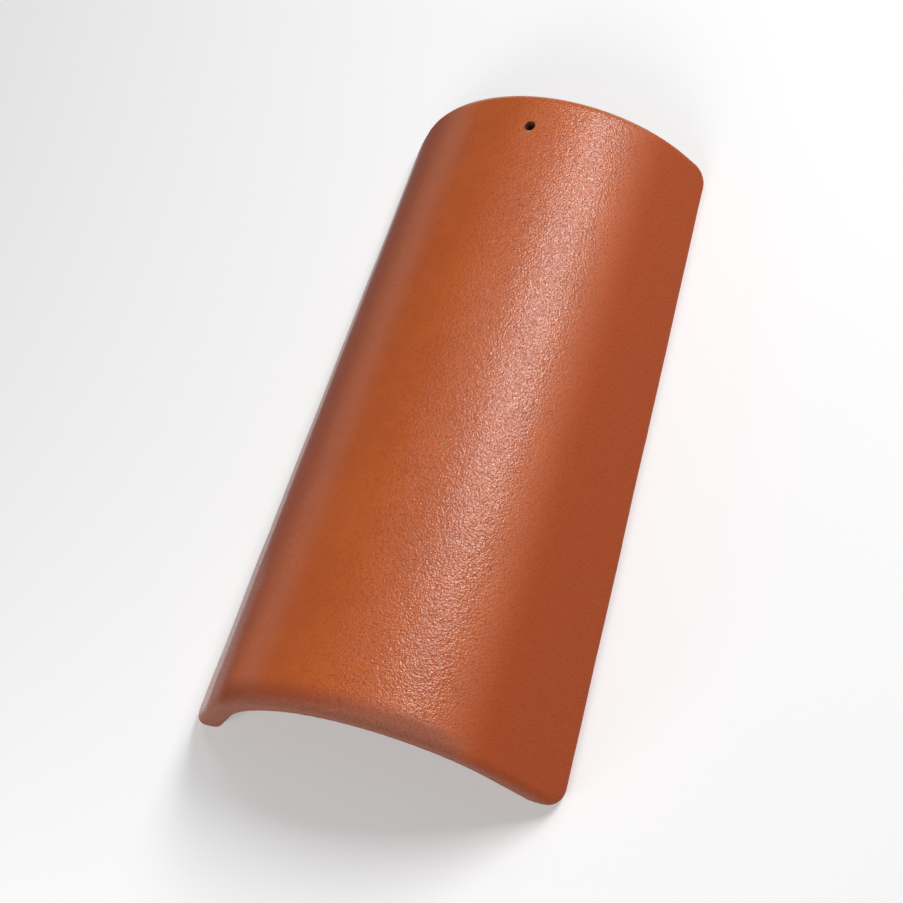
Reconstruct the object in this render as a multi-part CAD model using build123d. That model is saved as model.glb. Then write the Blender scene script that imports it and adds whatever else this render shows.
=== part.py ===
from build123d import *
import math
import os

# A tapered barrel roof tile, lying on its two long edges.
# X runs across the tile, Y along it from the wide end to the narrow end, Z up from the floor.
# The crown is part of a slightly conical barrel whose axis dips towards the narrow end.
# On each side a flat skirt runs on down from the crown to the foot.

# Driving sizes, in millimetres and degrees
LENGTH = 400.0  # of the barrel's axis, along the floor
WIDE_HEIGHT = 91.8  # outside, from the floor to the crown at the wide end
NARROW_HEIGHT = 67.7  # outside, from the floor to the crown at the narrow end
WIDE_RADIUS = 104.4  # outside of the crown at the wide end
NARROW_RADIUS = 100.0  # outside of the crown at the narrow end
CROWN_REACH = 57.5  # angle from the top of the crown down to each skirt
WALL = 14.0  # thickness of the clay
CORNER_ROUND = 12.0  # where a foot meets an end
NAIL_HOLE_DIAMETER = 6.5
NAIL_HOLE_INSET = 24.0  # from the narrow end to the middle of the nail hole, along the crown

# Sizes that follow from them
OUTER_ROUND = 0.38 * WALL  # edge between the weathered face and the rim
INNER_ROUND = 0.25 * WALL  # edge between the underside and the rim
NAIL_HOLE_FLARE = NAIL_HOLE_DIAMETER / 8  # rounded mouth of the nail hole
BELOW_FLOOR = WIDE_HEIGHT  # more than enough for the skirts to cross the floor before they are cut

# The axis of the barrel, in the upright plane through the crown
axis_wide = Vector(0, -LENGTH / 2, WIDE_HEIGHT - WIDE_RADIUS)
axis_narrow = Vector(0, LENGTH / 2, NARROW_HEIGHT - NARROW_RADIUS)
barrel_axis = Axis(axis_wide, axis_narrow - axis_wide)
length_section = Plane(origin=axis_wide, x_dir=barrel_axis.direction, z_dir=(1, 0, 0))


def crown_wall() -> Face:
    """The wall cut lengthwise along the crown, with both ends square to the axis."""
    axis_length = (axis_narrow - axis_wide).length
    half_angle = math.atan2(WIDE_RADIUS - NARROW_RADIUS, axis_length)
    depth = WALL / math.cos(half_angle)
    return make_face(
        Polyline(
            (0, WIDE_RADIUS),
            (axis_length, NARROW_RADIUS),
            (axis_length, NARROW_RADIUS - depth),
            (0, WIDE_RADIUS - depth),
            close=True,
        )
    ).face()


def half_arch(side: int) -> Part:
    """One side of the arch: the crown turned about the axis, then the skirt drawn off it to the floor."""
    crown = revolve(length_section * crown_wall(), barrel_axis, side * CROWN_REACH)
    skirt_root = crown.faces().filter_by(GeomType.PLANE).sort_by(Axis.X)[-1 if side > 0 else 0]
    skirt = extrude(skirt_root, BELOW_FLOOR)
    return crown + skirt


def sharp_tile() -> Part:
    """Both sides of the arch joined and cut level at the floor, with every edge still sharp."""
    return split(half_arch(1) + half_arch(-1), Plane.XY, keep=Keep.TOP)


def skin_edge(tile: Part, outside: bool) -> ShapeList:
    """The closed line round the weathered face (the outside) or round the underside."""
    cones = tile.faces().filter_by(GeomType.CONE).sort_by(SortBy.AREA)
    crown = cones[-1] if outside else cones[-2]
    side_lines = crown.edges().filter_by(GeomType.LINE)
    skirts = [face for face in tile.faces() if face != crown and any(line in face.edges() for line in side_lines)]
    edges = ShapeList(edge for face in [crown, *skirts] for edge in face.edges())
    return ShapeList(edge for edge in edges if edge not in side_lines)


def rounded_tile() -> Part:
    """The tile with its four corners and the whole of its rim rounded."""
    tile = sharp_tile()
    through_wall = tile.edges().filter_by(lambda edge: edge.length < 2 * WALL).group_by(Axis.Z)[0]
    tile = fillet(through_wall, CORNER_ROUND)
    tile = fillet(skin_edge(tile, outside=True), OUTER_ROUND)
    return fillet(skin_edge(tile, outside=False), INNER_ROUND)


def nail_line() -> Plane:
    """The plane on the crown, near the narrow end, that the nail hole goes square through."""
    up = Vector(1, 0, 0).cross(barrel_axis.direction)
    wide_crown = axis_wide + up * WIDE_RADIUS
    narrow_crown = axis_narrow + up * NARROW_RADIUS
    along_crown = (narrow_crown - wide_crown).normalized()
    return Plane(
        origin=narrow_crown - along_crown * NAIL_HOLE_INSET,
        x_dir=(1, 0, 0),
        z_dir=Vector(1, 0, 0).cross(along_crown),
    )


def pierced_tile() -> Part:
    """The rounded tile with the nail hole, whose mouth on the weathered face is rounded."""
    bar = nail_line() * Cylinder(NAIL_HOLE_DIAMETER / 2, 4 * WALL)
    tile = rounded_tile() - bar
    bore = tile.faces().filter_by(GeomType.CYLINDER).sort_by_distance(nail_line().origin)[0]
    mouth = bore.edges().sort_by(Axis.Z)[-1]
    return fillet(mouth, NAIL_HOLE_FLARE)


def finished_tile() -> Part:
    """The tile moved along Y so that the origin is the middle of the ground it covers."""
    tile = pierced_tile()
    return Pos(0, -tile.bounding_box().center().Y, 0) * tile


os.makedirs("parts", exist_ok=True)
export_step(finished_tile(), "parts/barrel_tile.step")
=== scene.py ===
"""Looks of a tapered barrel roof tile of fired clay, lying on its two long edges.

The tile is made as a flat blank of clay with a rounded rim and a nail hole, then draped over a conical
former by a Geometry Nodes tree that also presses the fine relief of the clay into it.
"""

import logging
import math
from dataclasses import dataclass, field
from enum import Enum
from typing import Sequence, Union

import bpy
import numpy as np
from mathutils import Matrix, Vector


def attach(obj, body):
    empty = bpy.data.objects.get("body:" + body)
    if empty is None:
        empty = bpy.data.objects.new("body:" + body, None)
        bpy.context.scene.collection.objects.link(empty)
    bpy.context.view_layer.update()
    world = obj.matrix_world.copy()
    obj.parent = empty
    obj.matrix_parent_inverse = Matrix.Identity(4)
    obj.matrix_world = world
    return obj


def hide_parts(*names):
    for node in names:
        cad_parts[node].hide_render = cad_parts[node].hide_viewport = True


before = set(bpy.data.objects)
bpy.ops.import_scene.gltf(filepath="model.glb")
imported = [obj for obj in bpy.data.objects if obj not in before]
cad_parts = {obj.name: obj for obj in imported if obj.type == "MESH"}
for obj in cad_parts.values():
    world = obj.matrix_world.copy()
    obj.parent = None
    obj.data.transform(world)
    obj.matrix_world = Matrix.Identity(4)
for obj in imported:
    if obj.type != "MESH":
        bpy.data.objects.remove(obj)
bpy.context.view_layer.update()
LOG = logging.getLogger("roof_tile")
Number = Union[int, float]
Colour = tuple[float, float, float]
Place = tuple[float, float, float]
Span = tuple[float, float]  # where a smooth step is 0, and where it is 1
Line = list[tuple[np.ndarray, np.ndarray]]  # points of the rim, each with the outward direction there
WALL = 0.014  # thickness of the clay, in metres
CENTRE_SHIFT = 0.002946  # the origin is this far from the middle of the barrel's axis, along Y
NOISE_MIDDLE = 0.5  # the value that Blender's noise swings about
MIX_PART, MIX_FIRST, MIX_SECOND, MIX_RESULT = 0, 6, 7, 2  # sockets of a Mix node that mixes colours


class Bed(Enum):
    """The two broad faces of the clay blank."""

    WEATHERED = 1
    UNDERSIDE = 2


@dataclass(frozen=True)
class Wire:
    """One output of a node, with arithmetic that adds the Math nodes it needs."""

    tree: bpy.types.NodeTree
    socket: bpy.types.NodeSocket

    def math(self, operation: str, *others: Union["Wire", Number], clamp: bool = False) -> "Wire":
        """Adds a Math node.

        Args:
            operation: the name of the Math node's operation.
            others: its second and third values.
            clamp: whether the result is held between 0 and 1.

        Returns:
            The node's result.
        """
        node = self.tree.nodes.new("ShaderNodeMath")
        node.operation = operation
        node.use_clamp = clamp
        for slot, value in zip(node.inputs, (self, *others)):
            plug(self.tree, slot, value)
        return Wire(self.tree, node.outputs[0])

    def __add__(self, other: Union["Wire", Number]) -> "Wire":
        """Sum."""
        return self.math("ADD", other)

    def __sub__(self, other: Union["Wire", Number]) -> "Wire":
        """Difference."""
        return self.math("SUBTRACT", other)

    def __rsub__(self, other: Number) -> "Wire":
        """A number less this value."""
        return (self * -1.0) + other

    def __mul__(self, other: Union["Wire", Number]) -> "Wire":
        """Product."""
        return self.math("MULTIPLY", other)

    def __truediv__(self, other: Union["Wire", Number]) -> "Wire":
        """Quotient."""
        return self.math("DIVIDE", other)

    def step(self, low: Number, high: Number) -> "Wire":
        """A smooth rise from 0 at low to 1 at high, or a smooth fall where low is above high.

        Args:
            low: the value at which the result is 0.
            high: the value at which the result is 1.

        Returns:
            The smooth step.
        """
        rising = high > low
        node = self.tree.nodes.new("ShaderNodeMapRange")
        node.interpolation_type = "SMOOTHSTEP"
        plug(self.tree, node.inputs["Value"], self)
        node.inputs["From Min"].default_value = low if rising else high
        node.inputs["From Max"].default_value = high if rising else low
        node.inputs["To Min"].default_value = 0.0 if rising else 1.0
        node.inputs["To Max"].default_value = 1.0 if rising else 0.0
        return Wire(self.tree, node.outputs["Result"])


def plug(tree: bpy.types.NodeTree, slot: bpy.types.NodeSocket, value: object) -> None:
    """Links a wire to a socket, or sets the socket to a plain value.

    Args:
        tree: the tree that the socket is in.
        slot: the socket.
        value: a Wire, a number, a colour or a vector.
    """
    if isinstance(value, Wire):
        tree.links.new(value.socket, slot)
    elif isinstance(value, tuple) and len(value) == 3 and slot.type == "RGBA":
        slot.default_value = (*value, 1.0)
    else:
        slot.default_value = value


def pack(tree: bpy.types.NodeTree, x: object, y: object, z: object) -> Wire:
    """Three numbers joined into a vector.

    Args:
        tree: the tree to add the node to.
        x: the first part.
        y: the second part.
        z: the third part.

    Returns:
        The vector.
    """
    node = tree.nodes.new("ShaderNodeCombineXYZ")
    for slot, value in zip(node.inputs, (x, y, z)):
        plug(tree, slot, value)
    return Wire(tree, node.outputs[0])


def unpack(vector: Wire) -> tuple[Wire, Wire, Wire]:
    """The three parts of a vector.

    Args:
        vector: the vector to take apart.

    Returns:
        Its X, Y and Z.
    """
    node = vector.tree.nodes.new("ShaderNodeSeparateXYZ")
    plug(vector.tree, node.inputs[0], vector)
    return tuple(Wire(vector.tree, out) for out in node.outputs[:3])


def read(tree: bpy.types.NodeTree, name: str, output: str) -> Wire:
    """Reads an attribute of the mesh.

    Args:
        tree: the material's tree.
        name: the attribute.
        output: which of the node's outputs is wanted.

    Returns:
        Its value.
    """
    node = tree.nodes.new("ShaderNodeAttribute")
    node.attribute_name = name
    return Wire(tree, node.outputs[output])


def blend(part: Wire, first: object, second: object) -> Wire:
    """Mixes two colours.

    Args:
        part: how much of the second colour.
        first: the first colour.
        second: the second colour.

    Returns:
        The mixed colour.
    """
    node = part.tree.nodes.new("ShaderNodeMix")
    node.data_type = "RGBA"
    for slot, value in ((MIX_PART, part), (MIX_FIRST, first), (MIX_SECOND, second)):
        plug(part.tree, node.inputs[slot], value)
    return Wire(part.tree, node.outputs[MIX_RESULT])


def specks(place: Wire, size: float) -> Wire:
    """The distance to the nearest of many points scattered over the flat blank.

    Args:
        place: where it is read, in metres.
        size: the spacing of the points, in metres.

    Returns:
        The distance in units of the spacing, 0 at a point.
    """
    node = place.tree.nodes.new("ShaderNodeTexVoronoi")
    node.voronoi_dimensions = "2D"
    plug(place.tree, node.inputs["Vector"], place)
    node.inputs["Scale"].default_value = 1.0 / size
    return Wire(place.tree, node.outputs["Distance"])


def distance(place: Wire, spot: Place) -> Wire:
    """How far a place is from a spot.

    Args:
        place: where it is read, in metres.
        spot: the spot.

    Returns:
        The distance, in metres.
    """
    node = place.tree.nodes.new("ShaderNodeVectorMath")
    node.operation = "DISTANCE"
    plug(place.tree, node.inputs[0], place)
    node.inputs[1].default_value = spot
    return Wire(place.tree, node.outputs["Value"])


def outwards(azimuth: float, elevation: float) -> Vector:
    """The direction from the tile to a lamp or to the camera.

    Args:
        azimuth: angle round from the wide end, in degrees.
        elevation: angle above the floor, in degrees.

    Returns:
        The direction.
    """
    a, e = math.radians(azimuth), math.radians(elevation)
    return Vector((math.sin(a) * math.cos(e), -math.cos(a) * math.cos(e), math.sin(e)))


@dataclass(frozen=True)
class Grain:
    """Smooth random noise: the width of its lumps in metres, its seed, and its finer layers."""

    size: float
    seed: float
    detail: float = 2.0
    rough: float = 0.5
    warp: float = 0.0

    def at(self, place: Wire) -> Wire:
        """The noise at a place.

        Args:
            place: where it is read, in metres.

        Returns:
            The noise, about 0.5.
        """
        node = place.tree.nodes.new("ShaderNodeTexNoise")
        node.noise_dimensions = "4D"
        plug(place.tree, node.inputs["Vector"], place)
        node.inputs["W"].default_value = self.seed
        node.inputs["Scale"].default_value = 1.0 / self.size
        node.inputs["Detail"].default_value = self.detail
        node.inputs["Roughness"].default_value = self.rough
        node.inputs["Distortion"].default_value = self.warp
        return Wire(place.tree, node.outputs[0])

    def sway(self, place: Wire) -> Wire:
        """The noise at a place, about 0."""
        return self.at(place) - NOISE_MIDDLE


@dataclass(frozen=True)
class Spot:
    """A soft round patch on the flat blank, in metres."""

    middle: Place
    reach: float
    core: float = 0.3  # the share of the reach that has the full strength

    def at(self, place: Wire) -> Wire:
        """The patch's strength at a place: 1 in its middle, 0 outside it."""
        return distance(place, self.middle).step(self.reach, self.reach * self.core)


@dataclass(frozen=True)
class Former:
    """The slightly conical former that the flat blank of clay is draped over, in metres and radians."""

    length: float = 0.400
    wide_height: float = 0.0918
    narrow_height: float = 0.0677
    wide_radius: float = 0.1044
    narrow_radius: float = 0.100
    reach: float = math.radians(57.5)
    wide_end_y: float = -0.2 - CENTRE_SHIFT

    @property
    def wide_axis_z(self) -> float:
        """Height of the barrel's axis at the wide end."""
        return self.wide_height - self.wide_radius

    @property
    def narrow_axis_z(self) -> float:
        """Height of the barrel's axis at the narrow end."""
        return self.narrow_height - self.narrow_radius

    @property
    def dip(self) -> float:
        """Angle by which the axis falls towards the narrow end."""
        return math.atan2(self.wide_axis_z - self.narrow_axis_z, self.length)

    @property
    def axis_length(self) -> float:
        """Length of the axis from end to end."""
        return self.length / math.cos(self.dip)

    @property
    def taper(self) -> float:
        """Change of the radius for each metre of the axis."""
        return (self.narrow_radius - self.wide_radius) / self.axis_length

    @property
    def root(self) -> float:
        """Where the flat skirt starts, measured across the blank from its middle line."""
        return self.reach * self.wide_radius

    def radius(self, along: float, depth: float) -> float:
        """Distance from the axis.

        Args:
            along: place along the axis.
            depth: depth below the weathered face.

        Returns:
            The radius there.
        """
        return self.wide_radius + self.taper * along - depth * math.hypot(1.0, self.taper)

    def across(self, along: float, height: float, depth: float) -> float:
        """Place across the blank of a point of the skirt.

        Args:
            along: place along the axis.
            height: distance from the axis, measured upright to it.
            depth: depth below the weathered face.

        Returns:
            The distance from the middle line of the blank.
        """
        down = (self.radius(along, depth) * math.cos(self.reach) - height) / math.sin(self.reach)
        return self.root + down


@dataclass(frozen=True)
class Rim:
    """The thickness of the clay and the roundings of its edges, in metres."""

    wall: float = WALL
    outer_round: float = 0.38 * WALL
    inner_round: float = 0.25 * WALL
    corner_round: float = 0.012


@dataclass(frozen=True)
class NailHole:
    """The nail hole near the narrow end, in metres."""

    radius: float = 0.00325
    inset: float = 0.024
    flare: float = 0.00325 / 4


@dataclass
class ClayBlank:
    """The tile before it is bent: a flat, closed slab of clay with a rounded rim and a nail hole.

    X runs across it, Y along it from the wide end, and its weathered face is at Z 0. The steps are numbers
    of mesh cells, and the parts say how far each ring round the nail hole is from a square to a circle. The
    slip covers the outer round in full as far as slip_stop, and then fades out.
    """

    former: Former
    rim: Rim
    hole: NailHole
    end_steps: int = 100
    corner_steps: int = 8
    foot_steps: int = 268
    fillet_steps: int = 8
    side_steps: int = 4
    inner_steps: int = 4
    hole_block: int = 6
    flare_steps: int = 3
    bore_steps: int = 10
    upper_parts: tuple[float, ...] = (0.3, 0.55, 0.75, 0.9, 1.0)
    lower_parts: tuple[float, ...] = (0.86, 0.6, 0.3)
    slip_stop: float = 0.35
    points: list[Place] = field(default_factory=list)
    faces: list[tuple[int, ...]] = field(default_factory=list)
    slip: list[float] = field(default_factory=list)

    def corner_arc(self, along: float, start: float, sweep: float, inset: float) -> list[Place]:
        """The round of one corner, seen from the side of the tile.

        Args:
            along: place of the round's middle along the axis.
            start: the angle at which the round starts.
            sweep: the angle that it goes through.
            inset: distance in from the rim's faces.

        Returns:
            For each point its place along the axis, its height from the axis and its angle.
        """
        f = self.former
        corner = self.rim.corner_round
        height = (corner - f.wide_axis_z + along * math.sin(f.dip)) / math.cos(f.dip)
        arc: list[Place] = []
        for k in range(self.corner_steps + 1):
            angle = start + sweep * k / self.corner_steps
            out = (-math.cos(angle), -math.sin(angle))
            arc.append((along + (corner - inset) * out[0], height + (corner - inset) * out[1], angle))
        return arc

    def half_outline(self, inset: float, depth: float) -> Line:
        """One half of the rim's line, from the middle of the wide end to the middle of the narrow end.

        Args:
            inset: distance in from the rim's faces.
            depth: depth below the weathered face.

        Returns:
            The line.
        """
        f = self.former
        turn = math.pi / 2 + f.dip
        corner = self.rim.corner_round
        wide_arc = self.corner_arc(corner, 0.0, turn, inset)
        narrow_arc = self.corner_arc(f.axis_length - corner, turn, math.pi - turn, inset)
        wide_start = f.across(wide_arc[0][0], wide_arc[0][1], depth)
        narrow_stop = f.across(narrow_arc[-1][0], narrow_arc[-1][1], depth)
        line: Line = []
        for k in range(self.end_steps):
            place = np.array([wide_start * k / self.end_steps, inset, -depth])
            line.append((place, np.array([0.0, -1.0, 0.0])))
        foot = [
            (
                wide_arc[-1][0] + (narrow_arc[0][0] - wide_arc[-1][0]) * k / self.foot_steps,
                wide_arc[-1][1] + (narrow_arc[0][1] - wide_arc[-1][1]) * k / self.foot_steps,
                turn,
            )
            for k in range(1, self.foot_steps)
        ]
        lean = (math.sin(f.reach), -math.cos(f.reach))
        for along, height, angle in (*wide_arc, *foot, *narrow_arc):
            out = np.array([lean[0] * math.sin(angle), -math.cos(angle), lean[1] * math.sin(angle)])
            line.append((np.array([f.across(along, height, depth), along, -depth]), out))
        for k in range(self.end_steps - 1, -1, -1):
            place = np.array([narrow_stop * k / self.end_steps, f.axis_length - inset, -depth])
            line.append((place, np.array([0.0, 1.0, 0.0])))
        return line

    @staticmethod
    def full_outline(half: Line) -> Line:
        """The whole rim's line, made from one half and its mirror image.

        Args:
            half: the half on the side of positive X.

        Returns:
            The closed line.
        """
        flip = np.array([-1.0, 1.0, 1.0])
        return half + [(p * flip, n * flip) for p, n in half[-2:0:-1]]

    @staticmethod
    def swing(start: np.ndarray, stop: np.ndarray, part: float) -> np.ndarray:
        """A direction part of the way from one direction to another.

        Args:
            start: the first direction.
            stop: the last direction.
            part: how far, from 0 to 1.

        Returns:
            The direction between them.
        """
        angle = math.acos(float(np.clip(start @ stop, -1.0, 1.0)))
        return (math.sin((1 - part) * angle) * start + math.sin(part * angle) * stop) / math.sin(angle)

    def add_ring(self, places: Sequence[np.ndarray], slip: float) -> list[int]:
        """Adds a ring of points.

        Args:
            places: where they are.
            slip: how far the slip covers them.

        Returns:
            Their numbers.
        """
        start = len(self.points)
        self.points.extend(tuple(float(c) for c in p) for p in places)
        self.slip.extend([slip] * len(places))
        return list(range(start, start + len(places)))

    def join(self, upper: list[int], lower: list[int]) -> None:
        """Faces between two rings, of which the lower may have half as many points.

        Args:
            upper: the ring nearer to the weathered face.
            lower: the next ring down.
        """
        count = len(upper)
        if len(lower) == count:
            for k in range(count):
                n = (k + 1) % count
                self.faces.append((upper[k], lower[k], lower[n], upper[n]))
            return
        for k in range(0, count, 2):
            a, b, c = upper[k], upper[k + 1], upper[(k + 2) % count]
            d, e = lower[k // 2], lower[(k // 2 + 1) % len(lower)]
            self.faces.extend(((a, d, b), (b, d, e), (b, e, c)))

    def add_bed(self, bed: Bed, ring: list[int], stride: int) -> list[int]:
        """One broad face, with a square window left open round the nail hole.

        Args:
            bed: which of the two broad faces it is.
            ring: the ring of the rim that it joins.
            stride: how many fine cells one of its cells is wide.

        Returns:
            The points round the window.
        """
        columns = (2 * self.end_steps + self.corner_steps) // stride
        rows = (self.foot_steps + self.corner_steps) // stride
        number = -np.ones((columns + 1, rows + 1), int)
        half = columns // 2
        walk = [(i, 0) for i in range(half, columns)] + [(columns, j) for j in range(rows)]
        walk += [(i, rows) for i in range(columns, 0, -1)] + [(0, j) for j in range(rows, 0, -1)]
        walk += [(i, 0) for i in range(half)]
        rim = np.zeros((columns + 1, rows + 1, 3))
        for (i, j), k in zip(walk, ring):
            number[i, j] = k
            rim[i, j] = self.points[k]
        left, right, low, high = self.window(stride)
        for j in range(1, rows):
            v = j / rows
            for i in range(1, columns):
                if left < i < right and low < j < high:
                    continue
                s = i / columns
                sides = (1 - v) * rim[i, 0] + v * rim[i, rows] + (1 - s) * rim[0, j] + s * rim[columns, j]
                ends = (1 - s) * ((1 - v) * rim[0, 0] + v * rim[0, rows])
                ends = ends + s * ((1 - v) * rim[columns, 0] + v * rim[columns, rows])
                number[i, j] = len(self.points)
                self.points.append(tuple(float(c) for c in sides - ends))
                self.slip.append(1.0 if bed is Bed.WEATHERED else 0.0)
        for i in range(columns):
            for j in range(rows):
                if left <= i < right and low <= j < high:
                    continue
                quad = (number[i, j], number[i + 1, j], number[i + 1, j + 1], number[i, j + 1])
                self.faces.append(tuple(int(k) for k in (quad if bed is Bed.WEATHERED else quad[::-1])))
        loop = [(i, low) for i in range(left, right)] + [(right, j) for j in range(low, high)]
        loop += [(i, high) for i in range(right, left, -1)] + [(left, j) for j in range(high, low, -1)]
        return [int(number[i, j]) for i, j in loop]

    def window(self, stride: int) -> tuple[int, int, int, int]:
        """The square of cells left open for the nail hole.

        Args:
            stride: how many fine cells one cell of the broad face is wide.

        Returns:
            Its first and last column and its first and last row.
        """
        column = self.end_steps + self.corner_steps // 2
        cell = self.former.axis_length / (self.foot_steps + self.corner_steps)
        row = 2 * round((self.former.axis_length - self.hole.inset) / cell / 2)
        b = self.hole_block
        return tuple(k // stride for k in (column - b, column + b, row - b, row + b))

    def add_hole(self, upper: list[int], lower: list[int]) -> None:
        """The bore of the nail hole, from the window in the weathered face to the one in the underside.

        Args:
            upper: the points round the upper window.
            lower: the points round the lower window.
        """
        middle = np.array([0.0, self.former.axis_length - self.hole.inset, 0.0])
        spoke = [np.array(self.points[k]) - middle for k in upper]
        angle = [math.atan2(s[1], s[0]) for s in spoke]
        round_about = [np.array([math.cos(a), math.sin(a), 0.0]) for a in angle]
        wide = self.hole.radius + self.hole.flare
        last = upper
        for part in self.upper_parts:
            places = [middle + s * (1 - part) + r * wide * part for s, r in zip(spoke, round_about)]
            ring = self.add_ring(places, 1.0)
            self.join_inward(last, ring)
            last = ring
        for k in range(1, self.flare_steps + 1):
            part = k / self.flare_steps
            out = wide - self.hole.flare * math.sin(part * math.pi / 2)
            down = self.hole.flare * (1 - math.cos(part * math.pi / 2))
            places = [middle + r * out - np.array([0, 0, down]) for r in round_about]
            ring = self.add_ring(places, 1.0 - part)
            self.join_inward(last, ring)
            last = ring
        for depth in np.linspace(self.hole.flare, self.rim.wall, self.bore_steps + 1)[1:]:
            lean = np.array([0.0, depth * self.former.taper, -depth])
            ring = self.add_ring([middle + r * self.hole.radius + lean for r in round_about], 0.0)
            self.join_inward(last, ring)
            last = ring
        sole = middle + np.array([0.0, self.rim.wall * self.former.taper, -self.rim.wall])
        low_spoke = [np.array(self.points[k]) - sole for k in lower]
        for part in self.lower_parts:
            places = []
            for s in low_spoke:
                r = s / np.linalg.norm(s)
                places.append(sole + r * (self.hole.radius * part + np.linalg.norm(s) * (1 - part)))
            ring = self.add_ring(places, 0.0)
            self.join_inward(last, ring)
            last = ring
        self.join_inward(last, lower)

    def join_inward(self, outer: list[int], inner: list[int]) -> None:
        """Faces between two rings of the nail hole, of which the second may have half as many points.

        Args:
            outer: the ring nearer to the weathered face, read anticlockwise from above.
            inner: the next ring.
        """
        if len(inner) == len(outer):
            self.join(outer[::-1], inner[::-1])
            return
        for k in range(0, len(outer), 2):
            a, b, c = outer[k], outer[k + 1], outer[(k + 2) % len(outer)]
            d, e = inner[k // 2], inner[(k // 2 + 1) % len(inner)]
            self.faces.extend(((a, b, d), (b, e, d), (b, c, e)))

    def mesh(self) -> bpy.types.Mesh:
        """Builds the blank.

        Returns:
            Its mesh, with the cover of slip as an attribute.
        """
        rim = self.rim
        up, down = np.array([0.0, 0.0, 1.0]), np.array([0.0, 0.0, -1.0])
        outer = self.full_outline(self.half_outline(rim.outer_round, rim.outer_round))
        inner = self.full_outline(self.half_outline(rim.inner_round, rim.wall - rim.inner_round))
        rings: list[list[int]] = []
        for k in range(self.fillet_steps + 1):
            part = k / self.fillet_steps
            places = [c + rim.outer_round * self.swing(up, n, part) for c, n in outer]
            bare = max(0.0, part - self.slip_stop) / (1.0 - self.slip_stop)
            rings.append(self.add_ring(places, 1.0 - bare))
        for k in range(1, self.side_steps):
            part = k / self.side_steps
            places = [
                (c + rim.outer_round * n) * (1 - part) + (d + rim.inner_round * m) * part
                for (c, n), (d, m) in zip(outer, inner)
            ]
            rings.append(self.add_ring(places, 0.0))
        for k in range(self.inner_steps + 1):
            part = k / self.inner_steps
            places = [c + rim.inner_round * self.swing(n, down, part) for c, n in inner[::2]]
            rings.append(self.add_ring(places, 0.0))
        for upper, lower in zip(rings, rings[1:]):
            self.join(upper, lower)
        top = self.add_bed(Bed.WEATHERED, rings[0], 1)
        sole = self.add_bed(Bed.UNDERSIDE, rings[-1], 2)
        self.add_hole(top, sole)
        mesh = bpy.data.meshes.new("clay_blank")
        mesh.from_pydata(self.points, [], self.faces)
        cover = mesh.attributes.new("slip", "FLOAT", "POINT")
        cover.data.foreach_set("value", np.array(self.slip, np.float32))
        mesh.validate()
        return mesh


@dataclass(frozen=True)
class Relief:
    """The fine relief that pressing, trimming and firing leave in the clay, in metres."""

    swell: float = 0.0005
    swell_lumps: Grain = Grain(0.055, 7.0, 1.0)
    pimple: float = 0.00010
    pimple_lumps: Grain = Grain(0.0042, 10.0, 1.0)
    rough_rim: float = 0.0003
    rim_lumps: Grain = Grain(0.0035, 12.0, 3.0, 0.6)
    rim_level: float = 0.62  # the noise at which the rim stays where it is
    wavy_edge: float = 0.0010
    waves: Grain = Grain(0.045, 16.0, 2.0)
    wavy_heights: Span = (0.035, 0.004)


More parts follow.
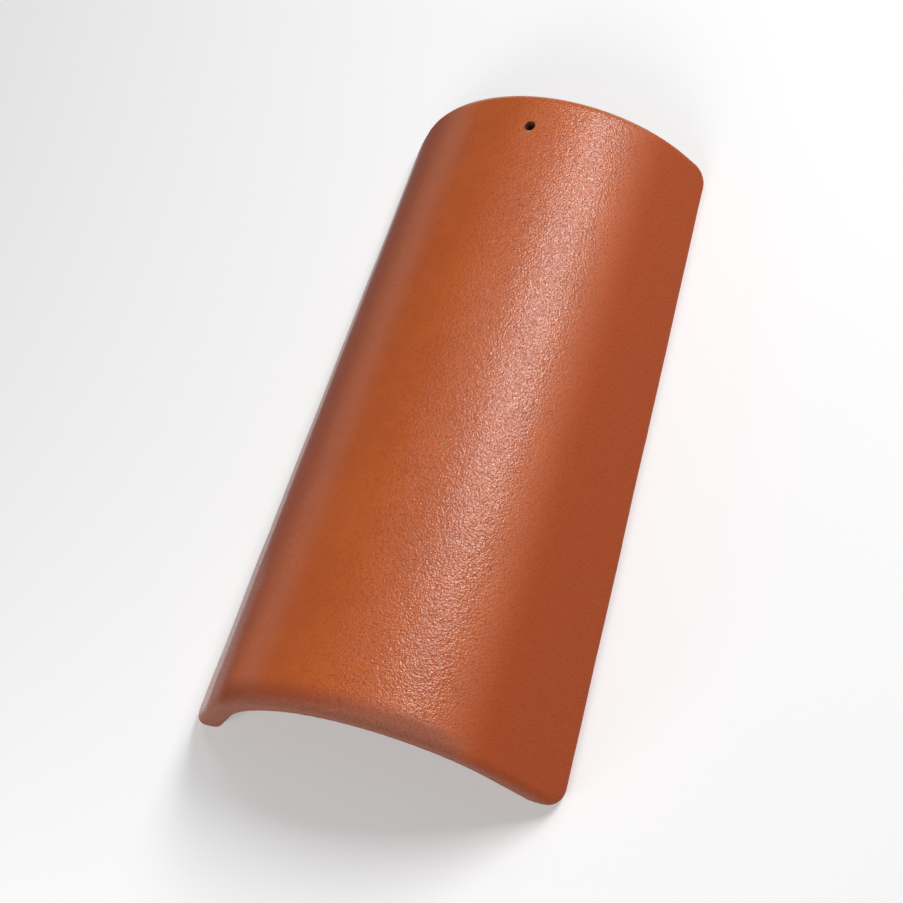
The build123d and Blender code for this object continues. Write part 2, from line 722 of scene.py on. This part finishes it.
@dataclass
class DrapedTile:
    """The roof tile: the blank draped over the former, with its relief."""

    former: Former
    rim: Rim
    hole: NailHole
    relief: Relief
    name: str = "barrel_tile_clay"

    def tree(self) -> bpy.types.NodeTree:
        """Builds the tree that drapes the blank.

        Returns:
            The Geometry Nodes tree.
        """
        tree = bpy.data.node_groups.new("drape_over_former", "GeometryNodeTree")
        sockets = tree.interface
        sockets.new_socket(name="Geometry", in_out="INPUT", socket_type="NodeSocketGeometry")
        sockets.new_socket(name="Geometry", in_out="OUTPUT", socket_type="NodeSocketGeometry")
        for name in self.sizes():
            sockets.new_socket(name=name, in_out="INPUT", socket_type="NodeSocketFloat")
        sockets.new_socket(name="Finish", in_out="INPUT", socket_type="NodeSocketMaterial")
        entry = tree.nodes.new("NodeGroupInput")
        leave = tree.nodes.new("NodeGroupOutput")
        size = {name: Wire(tree, entry.outputs[name]) for name in self.sizes()}
        place = Wire(tree, tree.nodes.new("GeometryNodeInputPosition").outputs[0])
        keep = tree.nodes.new("GeometryNodeStoreNamedAttribute")
        keep.data_type = "FLOAT_VECTOR"
        keep.inputs["Name"].default_value = "blank"
        plug(tree, keep.inputs["Value"], place)
        press = tree.nodes.new("GeometryNodeSetPosition")
        plug(tree, press.inputs["Offset"], self.press(tree, place, size))
        bend = tree.nodes.new("GeometryNodeSetPosition")
        plug(tree, bend.inputs["Position"], self.bend(tree, place, size))
        smooth = tree.nodes.new("GeometryNodeSetShadeSmooth")
        real = tree.nodes.new("GeometryNodeRealizeInstances")
        paint = tree.nodes.new("GeometryNodeSetMaterial")
        plug(tree, paint.inputs["Material"], Wire(tree, entry.outputs["Finish"]))
        clay = Wire(tree, entry.outputs["Geometry"])
        for node in (keep, press, bend, smooth, real, paint):
            plug(tree, node.inputs["Geometry"], clay)
            clay = Wire(tree, node.outputs[0])
        plug(tree, leave.inputs["Geometry"], clay)
        return tree

    def sizes(self) -> dict[str, float]:
        """The tree's named sizes and their values."""
        return {
            "Wide radius": self.former.wide_radius,
            "Taper": self.former.taper,
            "Wall stretch": math.hypot(1.0, self.former.taper),
            "Crown reach": self.former.reach,
            "Wide end Y": self.former.wide_end_y,
            "Wide axis Z": self.former.wide_axis_z,
            "Dip": self.former.dip,
            "Swell": self.relief.swell,
            "Pimple": self.relief.pimple,
            "Rough rim": self.relief.rough_rim,
            "Wavy edge": self.relief.wavy_edge,
        }

    def press(self, tree: bpy.types.NodeTree, place: Wire, size: dict[str, Wire]) -> Wire:
        """The relief, as a move of each point along its normal while the blank is flat.

        Args:
            tree: the tree.
            place: where each point is on the flat blank.
            size: the tree's named sizes.

        Returns:
            The move.
        """
        relief = self.relief
        cover = tree.nodes.new("GeometryNodeInputNamedAttribute")
        cover.data_type = "FLOAT"
        cover.inputs["Name"].default_value = "slip"
        slip = Wire(tree, cover.outputs["Attribute"])
        swell = relief.swell_lumps.sway(place) * size["Swell"]
        pimple = relief.pimple_lumps.sway(place) * size["Pimple"]
        bare = (relief.rim_lumps.at(place) - relief.rim_level) * size["Rough rim"] * (1.0 - slip)
        height = swell + pimple + bare
        normal = tree.nodes.new("GeometryNodeInputNormal")
        scale = tree.nodes.new("ShaderNodeVectorMath")
        scale.operation = "SCALE"
        tree.links.new(normal.outputs[0], scale.inputs[0])
        tree.links.new(height.socket, scale.inputs["Scale"])
        return Wire(tree, scale.outputs[0])

    def bend(self, tree: bpy.types.NodeTree, place: Wire, size: dict[str, Wire]) -> Wire:
        """The place of each point once the blank lies over the former.

        Args:
            tree: the tree.
            place: where each point is on the flat blank.
            size: the tree's named sizes.

        Returns:
            Where it goes.
        """
        across, along, lift = unpack(place)
        side, reach, dip = across.math("SIGN"), size["Crown reach"], size["Dip"]
        root = reach * size["Wide radius"]
        angle = across.math("ABSOLUTE").math("MINIMUM", root) / size["Wide radius"]
        skirt = (across.math("ABSOLUTE") - root).math("MAXIMUM", 0.0)
        radius = size["Wide radius"] + along * size["Taper"] + lift * size["Wall stretch"]
        out = radius * angle.math("SINE") + skirt * angle.math("COSINE")
        height = radius * angle.math("COSINE") - skirt * angle.math("SINE")
        y = size["Wide end Y"] + along * dip.math("COSINE") + height * dip.math("SINE")
        z = size["Wide axis Z"] - along * dip.math("SINE") + height * dip.math("COSINE")
        wave = self.relief.waves.sway(pack(tree, 0.0, along, side))
        out = out + wave * size["Wavy edge"] * z.step(*self.relief.wavy_heights)
        return pack(tree, side * out, y, z.math("MAXIMUM", 0.0))

    def build(self, finish: bpy.types.Material) -> bpy.types.Object:
        """Drapes the blank and makes the result a plain mesh.

        Args:
            finish: the tile's material.

        Returns:
            The tile.
        """
        blank = ClayBlank(self.former, self.rim, self.hole).mesh()
        piece = bpy.data.objects.new(self.name, blank)
        bpy.context.scene.collection.objects.link(piece)
        tree = self.tree()
        modifier = piece.modifiers.new("drape", "NODES")
        modifier.node_group = tree
        values = {**self.sizes(), "Finish": finish}
        for item in tree.interface.items_tree:
            if item.in_out == "INPUT" and item.name in values:
                modifier[item.identifier] = values[item.name]
        graph = bpy.context.evaluated_depsgraph_get()
        baked = bpy.data.meshes.new_from_object(piece.evaluated_get(graph), depsgraph=graph)
        piece.modifiers.clear()
        piece.data = baked
        baked.name = self.name
        bpy.data.meshes.remove(blank)
        return piece


@dataclass(frozen=True)
class FiredClay:
    """Terracotta under a satin clay slip, bare and rough where the slip doesn't reach.

    Places are in metres on the flat blank: across from the middle of the crown, with the left side
    negative, and along from the wide end.
    """

    # Colours of the slip and of the bare clay, and where the colour varies
    slip: Colour = (0.600, 0.1300, 0.0335)
    dark_slip: Colour = (0.545, 0.1140, 0.0285)
    mottle: Grain = Grain(0.060, 3.0, 2.0)
    mottle_share: float = 0.6
    patches: Grain = Grain(0.009, 4.0, 3.0, 0.6)
    patch_share: float = 0.4
    dark_levels: Span = (0.38, 0.64)
    bare: Colour = (0.42, 0.128, 0.070)
    dark_bare: Colour = (0.26, 0.090, 0.052)
    crumbs: Grain = Grain(0.0010, 7.0, 2.0, 0.65)
    crumb_levels: Span = (0.42, 0.60)

    # The flanks are painted darker and redder than the crown, as painted shade, and the left one has dark
    # flecks
    shaded_flank_colour: Colour = (0.438, 0.0635, 0.0030)
    shaded_flanks: Span = (0.060, 0.092)
    flecks: Grain = Grain(0.0016, 20.0, 2.0, 0.6)
    fleck_levels: Span = (0.52, 0.36)
    flecked_flank: Span = (-0.032, -0.076)
    fleck_strength: float = 0.40

    # The nose of the wide end, painted in shade where it rolls away from the light, and dull
    nose_shade_and_fleck_colour: Colour = (0.300, 0.0560, 0.0180)
    nose_along: Span = (0.017, 0.005)
    nose_right: Span = (0.082, 0.045)
    nose_left: Span = (-0.110, -0.070)
    nose_shade_strength: float = 0.8

    # A pale bloom on the left corner of the wide end, partly a painted sheen
    pale_bloom_and_sheen: Colour = (0.74, 0.40, 0.34)
    bloom_and_sheen_across: Span = (-0.064, -0.100)
    bloom_and_sheen_along: Span = (0.175, -0.010)
    bloom_and_sheen_clouds: Grain = Grain(0.045, 22.0, 4.0, 0.65)
    cloud_strength: float = 0.9
    bloom_and_sheen_levels: Span = (0.22, 1.0)
    bloom_and_sheen_limit: Span = (-0.066, -0.086)
    bloom_and_sheen_flecks: Span = (0.38, 0.66)
    bloom_and_sheen_fleck_strength: float = 0.34
    bloom_and_sheen_strength: float = 0.30

    # Painted shade in the valleys of the grain, and dark and pale marks
    # near black: painted shade in the valleys of the grain, and the colour of the dark pinholes and of the
    # dark marks on the wide end's end face
    valley_shade_and_dark_marks: Colour = (0.030, 0.012, 0.008)
    dark_end_marks: tuple[Spot, ...] = (
        Spot((-0.0165, 0.0, -0.0115), 0.0024),
        Spot((0.006, 0.0, -0.012), 0.0026),
    )
    valley_levels: Span = (0.46, 0.32)
    valley_shade_strength: float = 0.34
    flank_valley_cut: float = 0.5
    pit_strength: float = 0.36
    pit_spacing: float = 0.0065
    pit_radii: Span = (0.085, 0.03)
    pitted: Grain = Grain(0.006, 14.0, 1.0)
    pitted_levels: Span = (0.50, 0.66)
    tan_edge: Colour = (0.46, 0.135, 0.045)
    tan_along: Span = (0.3955, 0.3995)
    tan_strength: float = 0.4
    ash: Colour = (0.42, 0.38, 0.38)
    ash_mark: Spot = Spot((0.0008, 0.3728, 0.0), 0.0024)
    ash_levels: Span = (0.40, 0.50)
    ash_strength: float = 0.45

    # Painted shade in the bore of the nail hole and round its rim
    bore_shade: Colour = (0.150, 0.048, 0.026)
    bore_middle: Place = (0.0, 0.3765, 0.0)
    bore_radii: Span = (0.0036, 0.0031)
    bore_edge: Grain = Grain(0.0016, 18.0, 1.0)
    bore_fray: float = 0.0026
    bore_shade_strength: float = 0.9

    # Slip worn off beside the wide end
    worn_width: float = 0.0030
    worn_extra: float = 0.006
    worn_widens: Span = (-0.02, 0.055)
    worn_stops: Span = (0.058, 0.088)
    worn_edge: Grain = Grain(0.0011, 16.0, 2.0, 0.6)
    worn_fray: float = 0.006
    worn_sharpness: float = 250.0
    worn_strength: float = 0.75

    # Relief, with heights in metres
    sand: Grain = Grain(0.00112, 9.0, 1.0, 0.6)
    coarse_sand: Grain = Grain(0.0024, 8.0, 1.0)
    coarse_share: float = 0.5
    sand_height: float = 0.00042
    sandy_crown: Span = (-0.050, 0.015)
    crown_sand: float = 0.8
    sandy_flank: Span = (-0.052, -0.085)
    flank_sand: float = 0.5
    least_sand: float = 0.2
    folds: Grain = Grain(0.0019, 10.0, 2.0, 0.55, 0.5)
    fold_height: float = 0.00020
    fold_squeeze: float = 0.45
    fold_slant: float = 0.35
    fold_along: Span = (0.19, 0.06)
    fold_left: Span = (-0.05, 0.01)
    fold_right: Span = (0.115, 0.075)
    raw: Grain = Grain(0.0009, 11.0, 2.0, 0.6)
    raw_height: float = 0.00045
    pit_depth: float = 0.00012

    # Gloss
    crown_roughness: float = 0.245
    shoulder_roughness: float = 0.72
    foot_roughness: float = 0.30
    bare_roughness: float = 0.85
    nose_roughness: float = 0.35
    left_shoulder: Span = (-0.036, -0.083)
    right_shoulder: Span = (0.052, 0.082)
    left_foot: Span = (-0.102, -0.122)
    uneven: Grain = Grain(0.0015, 12.0, 2.0)
    uneven_roughness: float = 0.5
    ior: float = 1.5

    def cover(self, place: Wire, slip: Wire) -> Wire:
        """How far the slip covers the clay, once it is worn off beside the wide end.

        Args:
            place: where it is read on the flat blank.
            slip: how far the slip was put on.

        Returns:
            The cover, from 0 to 1.
        """
        across, along, _ = unpack(place)
        width = across.step(*self.worn_widens) * self.worn_extra + self.worn_width
        ragged = self.worn_edge.sway(place) * self.worn_fray
        worn = ((width - along + ragged) * self.worn_sharpness).math("ADD", 0.5, clamp=True)
        return slip * (1.0 - worn * (1.0 - across.step(*self.worn_stops)) * self.worn_strength)

    def sandy(self, place: Wire) -> Wire:
        """How sandy the face is: strongest over the crown, smoothest on the left shoulder.

        Args:
            place: where it is read on the flat blank.

        Returns:
            The share of the full grain.
        """
        across = unpack(place)[0]
        crown = across.step(*self.sandy_crown) * self.crown_sand
        return crown + across.step(*self.sandy_flank) * self.flank_sand + self.least_sand

    def nose(self, place: Wire) -> Wire:
        """Where the rolled nose of the wide end is painted in shade and made dull.

        Args:
            place: where it is read on the flat blank.

        Returns:
            1 on the nose, 0 away from it.
        """
        across, along, _ = unpack(place)
        return along.step(*self.nose_along) * across.step(*self.nose_right) * across.step(*self.nose_left)

    def pits(self, place: Wire) -> Wire:
        """Where the tiny pinholes in the slip are.

        Args:
            place: where it is read on the flat blank.

        Returns:
            1 in a pinhole, 0 elsewhere.
        """
        few = self.pitted.at(place).step(*self.pitted_levels)
        return specks(place, self.pit_spacing).step(*self.pit_radii) * few

    def bloom_and_sheen_at(self, place: Wire, fine: Wire) -> Wire:
        """Where the pale bloom and painted sheen lie on the left corner of the wide end.

        Args:
            place: where it is read on the flat blank.
            fine: the noise of the flecks.

        Returns:
            How strong the bloom and painted sheen are.
        """
        across, along, _ = unpack(place)
        corner = across.step(*self.bloom_and_sheen_across) * along.step(*self.bloom_and_sheen_along)
        corner = corner + self.bloom_and_sheen_clouds.sway(place) * self.cloud_strength
        corner = corner.step(*self.bloom_and_sheen_levels) * across.step(*self.bloom_and_sheen_limit)
        return corner * (fine.step(*self.bloom_and_sheen_flecks) * self.bloom_and_sheen_fleck_strength + self.bloom_and_sheen_strength)

    def bore(self, place: Wire) -> Wire:
        """The painted shade in the bore of the nail hole, with a ragged edge.

        Args:
            place: where it is read on the flat blank.

        Returns:
            How strong the painted shade is.
        """
        across, along, _ = unpack(place)
        flat = pack(place.tree, across, along, 0.0)
        ragged = self.bore_edge.sway(flat) * self.bore_fray
        return (distance(flat, self.bore_middle) + ragged).step(*self.bore_radii) * self.bore_shade_strength

    def colour(self, place: Wire, slip: Wire, pits: Wire) -> Wire:
        """The clay's colour.

        Args:
            place: where it is read on the flat blank.
            slip: how far the slip covers the clay.
            pits: where the pinholes are.

        Returns:
            The colour.
        """
        across, along, _ = unpack(place)
        shade = self.mottle.at(place) * self.mottle_share + self.patches.at(place) * self.patch_share
        body = blend(shade.step(*self.dark_levels), self.slip, self.dark_slip)
        # painted shade: both flanks are coloured darker and redder than the crown
        flank_shade = across.math("ABSOLUTE").step(*self.shaded_flanks)
        body = blend(flank_shade, body, self.shaded_flank_colour)
        # painted shade on the rolled nose of the wide end
        body = blend(self.nose(place) * self.nose_shade_strength, body, self.nose_shade_and_fleck_colour)
        fine = self.flecks.at(place)
        flecked = across.step(*self.flecked_flank) * fine.step(*self.fleck_levels)
        body = blend(flecked * self.fleck_strength, body, self.nose_shade_and_fleck_colour)
        # pale bloom, partly a painted sheen, on the left corner of the wide end
        body = blend(self.bloom_and_sheen_at(place, fine), body, self.pale_bloom_and_sheen)
        valleys = self.sand.at(place).step(*self.valley_levels) * self.sandy(place)
        valleys = valleys * (1.0 - flank_shade * self.flank_valley_cut)
        # painted shade in the valleys of the sand grain, and dark pinholes
        body = blend(valleys * self.valley_shade_strength + pits * self.pit_strength, body, self.valley_shade_and_dark_marks)
        body = blend(along.step(*self.tan_along) * self.tan_strength, body, self.tan_edge)
        coarse = self.crumbs.at(place)
        raw = blend(coarse.step(*self.crumb_levels), self.bare, self.dark_bare)
        colour = blend(slip, raw, body)
        # two small dark marks on the end face of the wide end
        for mark in self.dark_end_marks:
            colour = blend(mark.at(place), colour, self.valley_shade_and_dark_marks)
        ash = self.ash_mark.at(place) * coarse.step(*self.ash_levels) * self.ash_strength
        colour = blend(ash, colour, self.ash)
        # painted shade in the nail hole
        return blend(self.bore(place), colour, self.bore_shade)

    def relief(self, place: Wire, slip: Wire, pits: Wire) -> Wire:
        """The height of the finest relief, in metres.

        Args:
            place: where it is read on the flat blank.
            slip: how far the slip covers the clay.
            pits: where the pinholes are.

        Returns:
            The height.
        """
        across, along, lift = unpack(place)
        sand = self.sand.at(place) + self.coarse_sand.at(place) * self.coarse_share
        sand = sand * self.sandy(place) * self.sand_height
        slanted = pack(place.tree, across * self.fold_squeeze, along - across * self.fold_slant, lift)
        where = along.step(*self.fold_along) * across.step(*self.fold_left) * across.step(*self.fold_right)
        folds = self.folds.at(slanted) * where * self.fold_height
        raw = self.raw.at(place) * (1.0 - slip) * self.raw_height
        return sand + folds + raw - pits * self.pit_depth

    def roughness(self, place: Wire, slip: Wire) -> Wire:
        """How rough the clay is: satin on the crown, matt on the shoulders, roughest where it is bare.

        Args:
            place: where it is read on the flat blank.
            slip: how far the slip covers the clay.

        Returns:
            The roughness.
        """
        across = unpack(place)[0]
        matt = across.step(*self.left_shoulder) + across.step(*self.right_shoulder)
        shoulder = matt * (self.shoulder_roughness - self.crown_roughness)
        foot = across.step(*self.left_foot) * (self.foot_roughness - self.shoulder_roughness)
        uneven = self.uneven.sway(place) * self.uneven_roughness * self.sandy(place)
        satin = shoulder + foot + uneven + self.nose(place) * self.nose_roughness + self.crown_roughness
        return satin * slip + (1.0 - slip) * self.bare_roughness

    def build(self) -> bpy.types.Material:
        """Builds the material.

        Returns:
            The material.
        """
        material = bpy.data.materials.new("fired_clay")
        material.use_nodes = True
        tree = material.node_tree
        shader = tree.nodes["Principled BSDF"]
        place = read(tree, "blank", "Vector")
        slip = self.cover(place, read(tree, "slip", "Fac"))
        pits = self.pits(place)
        plug(tree, shader.inputs["Base Color"], self.colour(place, slip, pits))
        plug(tree, shader.inputs["Roughness"], self.roughness(place, slip))
        shader.inputs["IOR"].default_value = self.ior
        bump = tree.nodes.new("ShaderNodeBump")
        bump.inputs["Strength"].default_value = 1.0
        bump.inputs["Distance"].default_value = 1.0
        plug(tree, bump.inputs["Height"], self.relief(place, slip, pits))
        plug(tree, shader.inputs["Normal"], Wire(tree, bump.outputs[0]))
        return material


@dataclass(frozen=True)
class Viewpoint:
    """Where the picture is taken from: angles in degrees and lengths in metres."""

    azimuth: float = 45.771
    elevation: float = 60.504
    roll: float = -32.219
    distance: float = 1.1114
    right: float = 0.013145
    up: float = 0.00215
    scale: float = 1.6925  # points of the picture to a millimetre, at the camera's distance from the tile
    picture: float = 0.903  # the picture's side, in thousands of points
    sensor: float = 36.0  # in millimetres

    def build(self) -> bpy.types.Object:
        """Makes the camera.

        Returns:
            The camera.
        """
        azimuth, roll = math.radians(self.azimuth), math.radians(self.roll)
        back = outwards(self.azimuth, self.elevation)
        right = Vector((math.cos(azimuth), math.sin(azimuth), 0.0))
        up = back.cross(right)
        side = right * math.cos(roll) + up * math.sin(roll)
        top = up * math.cos(roll) - right * math.sin(roll)
        camera = bpy.data.objects.new("camera", bpy.data.cameras.new("camera"))
        bpy.context.scene.collection.objects.link(camera)
        spot = side * -self.right + top * -self.up + back * self.distance + Vector((0, -CENTRE_SHIFT, 0))
        turn = Matrix((side, top, back)).transposed()
        camera.matrix_world = Matrix.Translation(spot) @ turn.to_4x4()
        camera.data.sensor_width = self.sensor
        camera.data.lens = self.sensor * self.scale * self.distance / self.picture
        bpy.context.scene.camera = camera
        return camera


@dataclass(frozen=True)
class Lamp:
    """A soft white lamp: where it hangs, in degrees and metres, how large it is and how strong, in watts."""

    name: str
    azimuth: float
    elevation: float
    distance: float
    width: float
    height: float
    power: float
    turn: float = 0.0  # about the line to the tile, in radians

    def build(self, target: Vector) -> bpy.types.Object:
        """Hangs the lamp.

        Args:
            target: the point that it faces.

        Returns:
            The lamp.
        """
        away = outwards(self.azimuth, self.elevation)
        data = bpy.data.lights.new(self.name, "AREA")
        data.shape = "RECTANGLE"
        data.size, data.size_y = self.width, self.height
        data.energy = self.power
        lamp = bpy.data.objects.new(self.name, data)
        bpy.context.scene.collection.objects.link(lamp)
        aim = (-away).to_track_quat("-Z", "Y").to_matrix().to_4x4()
        place = Matrix.Translation(target + away * self.distance)
        lamp.matrix_world = place @ aim @ Matrix.Rotation(self.turn, 4, "Z")
        return lamp


@dataclass
class Studio:
    """The plain pale floor, the soft lamps and the pale surroundings."""

    floor_half: float = 16.0
    backdrop_height: float = 2.5
    floor_colour: Colour = (0.92, 0.92, 0.92)
    floor_roughness: float = 0.9
    near_white: float = 0.18
    far_white: float = 0.45
    whitens: Span = (0.5, 3.0)  # metres from the tile
    air: float = 0.05
    lamp_target: Place = (0.0, 0.0, 0.05)
    lamps: tuple[Lamp, ...] = (
        Lamp("main_lamp", 142.4, 48.4, 1.757, width=0.94, height=0.46, power=22.3, turn=-0.80),
        Lamp("top_lamp", -164.0, 59.2, 1.735, width=0.55, height=0.60, power=2.7, turn=-1.90),
        Lamp("front_fill", 0.0, 38.0, 1.0, width=0.65, height=0.45, power=2.7),
        Lamp("low_fill", -28.0, 20.0, 0.88, width=0.30, height=0.25, power=0.80),
    )

    def pale_finish(self) -> bpy.types.Material:
        """Makes the pale paint of floor and backdrop.

        The camera and reflections see it whiter than it lights the tile.

        Returns:
            The material.
        """
        material = bpy.data.materials.new("pale_paint")
        material.use_nodes = True
        material.cycles.emission_sampling = "NONE"  # only rays that meet the paint see it glow
        tree = material.node_tree
        shader = tree.nodes["Principled BSDF"]
        shader.inputs["Base Color"].default_value = (*self.floor_colour, 1.0)
        shader.inputs["Roughness"].default_value = self.floor_roughness
        shader.inputs["Emission Color"].default_value = (1.0, 1.0, 1.0, 1.0)
        span = tree.nodes.new("ShaderNodeVectorMath")
        span.operation = "LENGTH"
        plug(tree, span.inputs[0], Wire(tree, tree.nodes.new("ShaderNodeTexCoord").outputs["Object"]))
        rays = tree.nodes.new("ShaderNodeLightPath").outputs
        seen = Wire(tree, rays["Is Camera Ray"]) + Wire(tree, rays["Is Glossy Ray"])
        seen = seen + Wire(tree, rays["Is Transmission Ray"])
        far = Wire(tree, span.outputs["Value"]).step(*self.whitens)
        white = far * (self.far_white - self.near_white) + self.near_white
        plug(tree, shader.inputs["Emission Strength"], seen.math("MINIMUM", 1.0) * white)
        return material

    def build_floor(self) -> None:
        """Lays the floor and stands the backdrop all round it, far from the tile."""
        h, top = self.floor_half, self.backdrop_height
        ground = [(-h, -h, 0.0), (h, -h, 0.0), (h, h, 0.0), (-h, h, 0.0)]
        sides = len(ground)
        walls = [(i, (i + 1) % sides, sides + (i + 1) % sides, sides + i) for i in range(sides)]
        paint = self.pale_finish()
        for name, places, faces in (
            ("floor", ground, [(0, 1, 2, 3)]),
            ("backdrop", ground + [(x, y, top) for x, y, _ in ground], walls),
        ):
            mesh = bpy.data.meshes.new(name)
            mesh.from_pydata(places, [], faces)
            mesh.materials.append(paint)
            thing = bpy.data.objects.new(name, mesh)
            bpy.context.scene.collection.objects.link(thing)

    def build_air(self) -> None:
        """Sets the faint even light of the room."""
        world = bpy.data.worlds.new("room")
        world.use_nodes = True
        air = world.node_tree.nodes["Background"]
        air.inputs["Color"].default_value = (1.0, 1.0, 1.0, 1.0)
        air.inputs["Strength"].default_value = self.air
        bpy.context.scene.world = world

    def build(self) -> None:
        """Sets up floor, air and lamps."""
        self.build_floor()
        self.build_air()
        for lamp in self.lamps:
            lamp.build(Vector(self.lamp_target))


def main() -> None:
    """Builds the tile, its finish, the studio and the camera."""
    logging.basicConfig(level=logging.INFO, format="%(message)s")
    scene = bpy.context.scene
    scene.view_settings.view_transform = "Standard"
    clay = FiredClay().build()
    tile = DrapedTile(Former(), Rim(), NailHole(), Relief()).build(clay)
    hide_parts("barrel_tile")
    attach(tile, "root")
    triangles = sum(len(p.vertices) - 2 for p in tile.data.polygons)
    LOG.info("%s: %d triangles", tile.name, triangles)
    Viewpoint().build()
    Studio().build()


if __name__ == "__main__":
    main()
